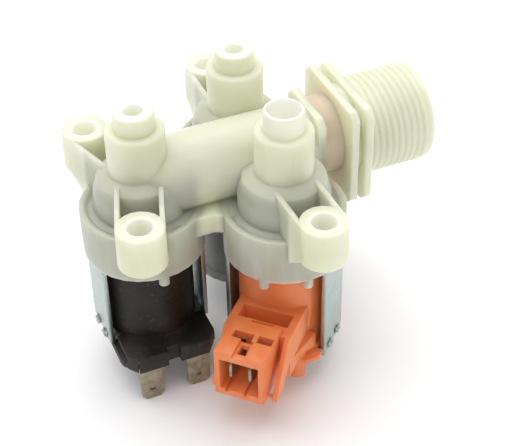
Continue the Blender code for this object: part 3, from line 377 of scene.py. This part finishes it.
def red_acetal(colours):
    """Acetal with red masterbatch, moulded: its colour glows through the inlet's thin neck."""
    material, tree, shader, place = new_material("red_acetal", {"Roughness": 0.4, "IOR": 1.48})
    clouds = speckle(tree, place, size_mm=4.0, low=0.35, high=0.65)
    paint(tree, shader, colours.red, [(clouds, colours.red_deep)])
    return material


FINISHES = {
    "body_nylon": natural_polyamide,
    "black_nylon": black_polyamide,
    "orange_nylon": orange_polyamide,
    "grey_nylon": grey_polyamide,
    "zinc_steel": passivated_zinc,
    "terminal_metal": tinned_brass,
    "plunger_steel": turned_stainless,
    "spring_steel": drawn_spring_wire,
    "rubber": moulded_rubber,
    "white_acetal": white_acetal,
    "red_acetal": red_acetal,
}
SLOT_OF = {part["node"]: part["material_slot"] for part in frame["record"]["subparts"]}
MADE = {}


def finish_of(slot):
    """The one material of a slot, made when it is first needed."""
    if slot not in MADE:
        MADE[slot] = FINISHES[slot](bpy.context.scene.valve_colours)
    return MADE[slot]


def only(piece):
    """Makes a piece the only selected object, and the active one."""
    bpy.ops.object.select_all(action="DESELECT")
    piece.select_set(True)
    bpy.context.view_layer.objects.active = piece


def seat(piece, body, slot, *replaced):
    """Gives a finished piece the material of its slot and its body, and hides the solids it stands for."""
    only(piece)
    bpy.ops.object.transform_apply(location=True, rotation=True, scale=True)
    piece.data.materials.clear()
    piece.data.materials.append(finish_of(slot))
    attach(piece, body)
    if replaced:
        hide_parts(*replaced)
    return piece


def welded_copy(node, name):
    """New object with a solid's mesh: triangles welded, and flat faces whole again."""
    mesh = frame["nodes"][node].data.copy()
    piece = bpy.data.objects.new(name, mesh)
    bpy.context.scene.collection.objects.link(piece)
    only(piece)
    bpy.ops.mesh.customdata_custom_splitnormals_clear()
    bpy.ops.object.mode_set(mode="EDIT")
    bpy.ops.mesh.select_all(action="SELECT")
    bpy.ops.mesh.remove_doubles(threshold=WELD)
    bpy.ops.mesh.dissolve_limited(angle_limit=FLAT)
    bpy.ops.object.mode_set(mode="OBJECT")
    return piece


def round_edges(piece, width):
    """Rounds the creases, and shades what is left smooth."""
    only(piece)
    edge = piece.modifiers.new("edge", "BEVEL")
    edge.width = width
    edge.segments = 2
    edge.limit_method = "ANGLE"
    edge.angle_limit = CREASE
    edge.use_clamp_overlap = True
    bpy.ops.object.modifier_apply(modifier=edge.name)
    bpy.ops.object.shade_smooth_by_angle(angle=CREASE)


def refined(node, name, width):
    """A solid's copy with rounded edges, in its place."""
    piece = welded_copy(node, name)
    round_edges(piece, width)
    return seat(piece, "valve", SLOT_OF[node], node)


class ValveColours(bpy.types.PropertyGroup):
    """Surface colours, as sRGB hex values."""

    ivory: bpy.props.StringProperty(name="Ivory", description="Natural polyamide", default="#E3E5CE")
    ivory_shade: bpy.props.StringProperty(name="Ivory shade", description="Its clouds", default="#DBDEC2")
    # Painted shade on the bells' lower walls, over the dark chambers and under the collars
    ivory_painted_shade: bpy.props.StringProperty(name="Ivory painted shade", description="Painted shade on the bells' lower walls",
                                         default="#B4B6A7")
    ivory_lit: bpy.props.StringProperty(name="Lit ivory", description="Bores, lit through their walls",
                                        default="#F6F8E6")
    glow: bpy.props.StringProperty(name="Glow", description="Regulator seen through the neck",
                                   default="#E3BF9F")
    black: bpy.props.StringProperty(name="Black", description="Coil 1", default="#1D1916")
    black_worn: bpy.props.StringProperty(name="Worn black", description="Its stains", default="#312A24")
    dust: bpy.props.StringProperty(name="Dust", description="Specks on coil 1", default="#4A433C")
    orange: bpy.props.StringProperty(name="Orange", description="Coil 2", default="#F28C54")
    orange_deep: bpy.props.StringProperty(name="Deep orange", description="Its clouds", default="#EC8246")
    grey: bpy.props.StringProperty(name="Grey", description="Coil 3", default="#9A9A98")
    grey_deep: bpy.props.StringProperty(name="Deep grey", description="Its clouds", default="#8E8E8C")
    zinc: bpy.props.StringProperty(name="Zinc", description="Yokes", default="#A9BCBE")
    zinc_warm: bpy.props.StringProperty(name="Warm zinc", description="Their mottling", default="#B9BFB6")
    tin: bpy.props.StringProperty(name="Tin", description="Terminals", default="#A9A08C")
    tin_stain: bpy.props.StringProperty(name="Stained tin", description="Their stains", default="#8B8067")
    steel: bpy.props.StringProperty(name="Steel", description="Plungers", default="#C6C6C8")
    steel_dark: bpy.props.StringProperty(name="Dark steel", description="Their rings", default="#A9A9AB")
    rubber: bpy.props.StringProperty(name="Rubber", description="Diaphragms", default="#1C1C1C")
    rubber_bloom: bpy.props.StringProperty(name="Rubber bloom", description="Their haze", default="#2B2B2B")
    acetal: bpy.props.StringProperty(name="Acetal", description="Inner mouldings", default="#F1F1ED")
    acetal_shade: bpy.props.StringProperty(name="Acetal shade", description="Their clouds",
                                           default="#E6E6E1")
    red: bpy.props.StringProperty(name="Red", description="Flow regulator", default="#C8604F")
    red_deep: bpy.props.StringProperty(name="Deep red", description="Its clouds", default="#B65140")
    floor: bpy.props.StringProperty(name="Floor", description="Studio floor", default="#FCFCFD")


class ValveEdges(bpy.types.PropertyGroup):
    """Edge radii of the pieces."""

    moulding: bpy.props.FloatProperty(name="Body", description="Edge radius of the body", default=0.25 * MM,
                                      unit="LENGTH", precision=5)
    coil: bpy.props.FloatProperty(name="Coils", description="Edge radius of the coils", default=0.2 * MM,
                                  unit="LENGTH", precision=5)
    sheet: bpy.props.FloatProperty(name="Sheet", description="Edge radius of steel and strip",
                                   default=0.12 * MM, unit="LENGTH", precision=5)


class ValveTabs(bpy.types.PropertyGroup):
    """Hammered ends of the lower plates' tabs."""

    offset: bpy.props.FloatProperty(name="Offset", description="From the plate's middle to each tab",
                                    default=2.85 * MM, unit="LENGTH", precision=5)
    split: bpy.props.FloatProperty(name="Split", description="From a tab's middle to each of its two knots",
                                   default=0.68 * MM, unit="LENGTH", precision=5)
    size: bpy.props.FloatVectorProperty(name="Size", description="Reach out, half width and half height",
                                        default=(0.75 * MM, 0.66 * MM, 0.85 * MM), unit="LENGTH",
                                        precision=5)
    lift: bpy.props.FloatProperty(name="Lift", description="Clear of the strap's face", default=0.02 * MM,
                                  unit="LENGTH", precision=5)
    turn: bpy.props.FloatProperty(name="Turn", description="Turn of yokes 2 and 3",
                                  default=math.radians(-45.0), subtype="ANGLE")


class ValveThread(bpy.types.PropertyGroup):
    """Pipe thread of the inlet, 14 threads to the inch."""

    pitch: bpy.props.FloatProperty(name="Pitch", description="Distance between threads", default=1.814 * MM,
                                   unit="LENGTH", precision=5)
    crest: bpy.props.FloatProperty(name="Crest radius", description="Half the major diameter",
                                   default=13.22 * MM, unit="LENGTH", precision=5)
    root: bpy.props.FloatProperty(name="Root radius", description="Radius of the stub", default=12.92 * MM,
                                  unit="LENGTH", precision=5)
    solid_root: bpy.props.FloatProperty(name="Solid root", description="Root radius of the solid's rings",
                                        default=12.1 * MM, unit="LENGTH", precision=5)
    plate: bpy.props.FloatProperty(name="Plate", description="Outer plate's face along X",
                                   default=27.4 * MM, unit="LENGTH", precision=5)
    chamfer: bpy.props.FloatProperty(name="Chamfer", description="Chamfer at the stub's end",
                                     default=0.4 * MM, unit="LENGTH", precision=5)
    turns: bpy.props.FloatProperty(name="Turns", description="Full turns of thread", default=9.4, min=1.0)
    steps: bpy.props.IntProperty(name="Steps", description="Faces in each turn", default=60, min=8)


class ValveStage(bpy.types.PropertyGroup):
    """Camera and light."""

    azimuth: bpy.props.FloatProperty(name="Azimuth", description="Camera's turn round the valve",
                                     default=math.radians(-22.377), subtype="ANGLE")
    elevation: bpy.props.FloatProperty(name="Elevation", description="Camera's height angle",
                                       default=math.radians(39.461), subtype="ANGLE")
    roll: bpy.props.FloatProperty(name="Roll", description="Camera's tilt", default=math.radians(-1.274),
                                  subtype="ANGLE")
    distance: bpy.props.FloatProperty(name="Distance", description="Camera to target", default=335.6 * MM,
                                      unit="LENGTH")
    lens: bpy.props.FloatProperty(name="Lens", description="Focal length in millimetres", default=88.14)
    target: bpy.props.FloatVectorProperty(name="Target", description="Point that the camera looks at",
                                          default=(0.37 * MM, 0.0, CAD_BOX[1].z - 46.22 * MM), unit="LENGTH")
    key_power: bpy.props.FloatProperty(name="Key", description="Strength of the overhead light", default=2.2)
    key_spread: bpy.props.FloatProperty(name="Spread", description="How wide the overhead light is",
                                        default=math.radians(80.0), subtype="ANGLE")
    key_from: bpy.props.FloatVectorProperty(name="From", description="Direction of the overhead light",
                                            default=(-0.1, 0.32, 1.0), subtype="DIRECTION")
    sky_left: bpy.props.FloatProperty(name="Left", description="Strength of the room at the left",
                                      default=0.37)
    sky_right: bpy.props.FloatProperty(name="Right", description="Strength of the room at the right",
                                       default=0.86)


class VALVE_OT_moulding(bpy.types.Operator):
    """Body: bells, collars, spigots, lugs, gallery, plates and threaded stub in one moulding"""

    bl_idname = "valve.moulding"
    bl_label = "Moulded body"

    def plain_stub(self, piece, sizes):
        """Turns the solid's thread rings down to a smooth stub."""
        for vertex in piece.data.vertices:
            across = Vector((vertex.co.y, vertex.co.z - INLET_AXIS_Z))
            on_stub = sizes.solid_root - sizes.chamfer < across.length < sizes.crest + sizes.chamfer
            if vertex.co.x > sizes.plate - sizes.chamfer / 2.0 and on_stub:
                at_end = vertex.co.x > CAD_BOX[1].x - sizes.chamfer / 2.0
                across *= (sizes.root - (sizes.chamfer if at_end else 0.0)) / across.length
                vertex.co.y, vertex.co.z = across.x, across.y + INLET_AXIS_Z

    def thread(self, sizes):
        """A ridge wound round the stub, run out at both ends."""
        bpy.ops.object.select_all(action="DESELECT")
        bpy.ops.mesh.primitive_circle_add(vertices=len(THREAD_SECTION), radius=sizes.pitch / 2.0,
                                          fill_type="NOTHING")
        ridge = bpy.context.object
        height = sizes.crest - sizes.root
        for vertex, (along, out) in zip(ridge.data.vertices, THREAD_SECTION):
            vertex.co = (sizes.root + out * height, 0.0, along * sizes.pitch)
        sweep = ridge.modifiers.new("sweep", "SCREW")
        sweep.axis = "Z"
        sweep.angle = 2.0 * math.pi * sizes.turns
        sweep.screw_offset = sizes.pitch * sizes.turns
        sweep.steps = round(sizes.steps * sizes.turns)
        sweep.render_steps = sweep.steps
        bpy.ops.object.modifier_apply(modifier=sweep.name)
        foot = sizes.root - height / 2.0
        for vertex in ridge.data.vertices:
            radius = math.hypot(vertex.co.x, vertex.co.y)
            turn = vertex.co.z / sizes.pitch
            rise = (min(turn, sizes.turns - turn) + RUN_OUT / 2.0) / RUN_OUT
            lowered = foot + (radius - foot) * max(LEAST_RIDGE, min(1.0, rise))
            vertex.co.x *= lowered / radius
            vertex.co.y *= lowered / radius
        bpy.ops.object.mode_set(mode="EDIT")
        bpy.ops.mesh.select_all(action="DESELECT")
        bpy.ops.mesh.select_mode(type="EDGE")
        bpy.ops.mesh.select_non_manifold()
        bpy.ops.mesh.edge_face_add()
        bpy.ops.mesh.select_all(action="SELECT")
        bpy.ops.mesh.normals_make_consistent(inside=False)
        bpy.ops.object.mode_set(mode="OBJECT")
        start = CAD_BOX[1].x - sizes.chamfer - (sizes.turns + 0.5) * sizes.pitch
        ridge.data.transform(Matrix.Translation((start, 0.0, INLET_AXIS_Z))
                             @ Matrix.Rotation(math.pi / 2.0, 4, "Y"))
        return ridge

    def execute(self, context):
        sizes = context.scene.valve_thread
        piece = welded_copy("valve_body", "valve_moulding")
        self.plain_stub(piece, sizes)
        round_edges(piece, context.scene.valve_edges.moulding)
        ridge = self.thread(sizes)
        joined = piece.modifiers.new("thread", "BOOLEAN")
        joined.operation = "UNION"
        joined.solver = "EXACT"
        joined.object = ridge
        only(piece)
        bpy.ops.object.modifier_apply(modifier=joined.name)
        bpy.data.objects.remove(ridge)
        bpy.ops.object.shade_smooth_by_angle(angle=CREASE)
        seat(piece, "valve", SLOT_OF["valve_body"], "valve_body")
        return {"FINISHED"}


class VALVE_OT_coils(bpy.types.Operator):
    """Three moulded coils"""

    bl_idname = "valve.coils"
    bl_label = "Coils"

    def execute(self, context):
        edges = context.scene.valve_edges
        for node, name in (("coil_1", "black_coil"), ("coil_2", "orange_coil"), ("coil_3", "grey_coil")):
            refined(node, name, edges.coil)
        return {"FINISHED"}


class VALVE_OT_yokes(bpy.types.Operator):
    """Folded steel yokes and their lower plates"""

    bl_idname = "valve.yokes"
    bl_label = "Yokes"

    def hammered_end(self, tabs, seed):
        """A rough knot on its own base, reaching out along X."""
        bpy.ops.object.select_all(action="DESELECT")
        bpy.ops.mesh.primitive_ico_sphere_add(subdivisions=4, radius=1.0)
        bpy.ops.object.shade_smooth()
        for vertex in bpy.context.object.data.vertices:
            rough = 1.0 + KNOT_ROUGHNESS * noise.noise(vertex.co * KNOT_DETAIL + Vector((seed, 0.0, 0.0)))
            reach = (max(vertex.co.x, 0.0) * rough, vertex.co.y * rough, vertex.co.z * rough)
            vertex.co = [share * size for share, size in zip(reach, tabs.size)]
        return bpy.context.object

    def hammer(self, piece, number, tabs):
        """Spreads the ends of a lower plate's four tabs over the strap's slots."""
        low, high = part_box(f"yoke_plate_{number}")
        flush = (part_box("yoke_plate_1")[1].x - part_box("yoke_plate_1")[0].x) / 2.0
        centre = valve_middles()[number - 1]
        centre.z = (low.z + high.z) / 2.0
        ends = []
        offsets = [tab + knot for tab in (-tabs.offset, tabs.offset) for knot in (-tabs.split, tabs.split)]
        for side in (0.0, math.pi):
            for offset in offsets:
                end = self.hammered_end(tabs, number + side + offset / tabs.split)
                turn = side + (tabs.turn if number > 1 else 0.0)
                end.data.transform(Matrix.Translation(centre) @ Matrix.Rotation(turn, 4, "Z")
                                   @ Matrix.Translation((flush + tabs.lift, offset, 0.0)))
                ends.append(end)
        only(piece)
        for end in ends:
            end.select_set(True)
        bpy.ops.object.join()

    def execute(self, context):
        edges = context.scene.valve_edges
        for number in (1, 2, 3):
            refined(f"yoke_{number}", f"yoke_strap_{number}", edges.sheet)
            node = f"yoke_plate_{number}"
            base = welded_copy(node, f"yoke_base_{number}")
            round_edges(base, edges.sheet)
            self.hammer(base, number, context.scene.valve_tabs)
            seat(base, "valve", SLOT_OF[node], node)
        return {"FINISHED"}


class VALVE_OT_terminals(bpy.types.Operator):
    """Spades and blades"""

    bl_idname = "valve.terminals"
    bl_label = "Terminals"

    def execute(self, context):
        edges = context.scene.valve_edges
        for number in (1, 2, 3):
            for side in "ab":
                refined(f"terminal_{number}{side}", f"contact_{number}{side}", edges.sheet)
        return {"FINISHED"}


class VALVE_OT_inner(bpy.types.Operator):
    """Strainer, regulator, diaphragms, guide tubes, plungers and springs"""

    bl_idname = "valve.inner"
    bl_label = "Inner pieces"

    def spring(self, number):
        """A round-wired spring between its plunger and the closed end of the guide tube."""
        node = f"spring_{number}"
        piece = welded_copy(node, f"return_spring_{number}")
        rounder = piece.modifiers.new("round", "SUBSURF")
        rounder.levels = 1
        bpy.ops.object.modifier_apply(modifier=rounder.name)
        bpy.ops.object.shade_smooth()
        seat(piece, "valve", SLOT_OF[node], node)
        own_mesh(piece)

    def execute(self, context):
        for number in (1, 2, 3):
            self.spring(number)
        shown = [object_.get("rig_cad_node") for object_ in frame["nodes"].values()]
        done = {"valve_body"}
        done.update(n for n in shown if n.startswith(("coil_", "yoke_", "terminal_", "spring_")))
        for node in sorted(set(shown) - done):
            for material_slot in frame["nodes"][node].material_slots:
                material_slot.material = finish_of(SLOT_OF[node])
        return {"FINISHED"}


class VALVE_OT_stage(bpy.types.Operator):
    """Pale floor, soft light and the camera"""

    bl_idname = "valve.stage"
    bl_label = "Studio"

    def execute(self, context):
        stage = context.scene.valve_stage
        bpy.ops.object.select_all(action="DESELECT")
        bpy.ops.mesh.primitive_plane_add(size=FLOOR_SIZE, location=(0.0, 0.0, CAD_BOX[0].z))
        floor = context.object
        floor.name = "studio_floor"
        # Matt white paper: it takes a soft shadow and mirrors nothing
        floor.data.materials.append(new_material("matt_paper", {
            "Roughness": 0.8, "Base Color": linear(context.scene.valve_colours.floor)})[0])
        light = bpy.data.lights.new("overhead_softbox", "SUN")
        light.energy = stage.key_power
        light.angle = stage.key_spread
        lamp = bpy.data.objects.new("overhead_softbox", light)
        context.scene.collection.objects.link(lamp)
        lamp.rotation_euler = Vector(stage.key_from).to_track_quat("Z", "Y").to_euler()
        world = bpy.data.worlds.new("white_room")
        world.use_nodes = True
        tree = world.node_tree
        way = add_node(tree, "ShaderNodeTexCoord", {}).outputs["Generated"]
        across = add_node(tree, "ShaderNodeSeparateXYZ", {}, {"Vector": way}).outputs["X"]
        strength = add_node(tree, "ShaderNodeMapRange", {"From Min": -1.0, "To Min": stage.sky_left,
                                                         "To Max": stage.sky_right}, {"Value": across})
        # The camera sees a white room, whatever light the room gives
        seen = add_node(tree, "ShaderNodeLightPath", {}).outputs["Is Camera Ray"]
        backdrop = add_node(tree, "ShaderNodeMath", {"operation": "MAXIMUM"},
                            {0: strength.outputs["Result"], 1: seen})
        tree.nodes["Background"].inputs["Color"].default_value = linear("#FFFFFF")
        tree.links.new(backdrop.outputs[0], tree.nodes["Background"].inputs["Strength"])
        context.scene.world = world
        data = bpy.data.cameras.new("camera")
        data.lens = stage.lens
        data.clip_start = NEAREST_SEEN
        camera = bpy.data.objects.new("camera", data)
        context.scene.collection.objects.link(camera)
        back = Vector((math.sin(stage.azimuth) * math.cos(stage.elevation),
                       -math.cos(stage.azimuth) * math.cos(stage.elevation), math.sin(stage.elevation)))
        turn = (-back).to_track_quat("-Z", "Y").to_matrix().to_4x4()
        camera.matrix_world = (Matrix.Translation(Vector(stage.target) + back * stage.distance)
                               @ turn @ Matrix.Rotation(stage.roll, 4, "Z"))
        context.scene.camera = camera
        context.scene.view_settings.view_transform = "Standard"
        return {"FINISHED"}


class VALVE_PT_pieces(bpy.types.Panel):
    """Sizes, colours and pieces"""

    bl_label = "Inlet Valve"
    bl_idname = "VALVE_PT_pieces"
    bl_space_type = "VIEW_3D"
    bl_region_type = "UI"
    bl_category = "Inlet Valve"

    def draw(self, context):
        for setting in SETTINGS:
            group = getattr(context.scene, setting)
            column = self.layout.column(align=True)
            for name in group.__annotations__:
                column.prop(group, name)
        for operator in OPERATORS:
            self.layout.operator(operator.bl_idname)


SETTINGS = {
    "valve_colours": ValveColours,
    "valve_edges": ValveEdges,
    "valve_tabs": ValveTabs,
    "valve_thread": ValveThread,
    "valve_stage": ValveStage,
}
OPERATORS = (VALVE_OT_moulding, VALVE_OT_coils, VALVE_OT_yokes, VALVE_OT_terminals, VALVE_OT_inner,
             VALVE_OT_stage)


def register():
    for made in (*SETTINGS.values(), *OPERATORS, VALVE_PT_pieces):
        bpy.utils.register_class(made)
    for name, group in SETTINGS.items():
        setattr(bpy.types.Scene, name, bpy.props.PointerProperty(type=group))


def unregister():
    for name in SETTINGS:
        delattr(bpy.types.Scene, name)
    for made in (VALVE_PT_pieces, *reversed(OPERATORS), *reversed(SETTINGS.values())):
        bpy.utils.unregister_class(made)


def main():
    register()
    for operator in OPERATORS:
        group, name = operator.bl_idname.split(".")
        getattr(getattr(bpy.ops, group), name)()


if __name__ == "__main__":
    main()
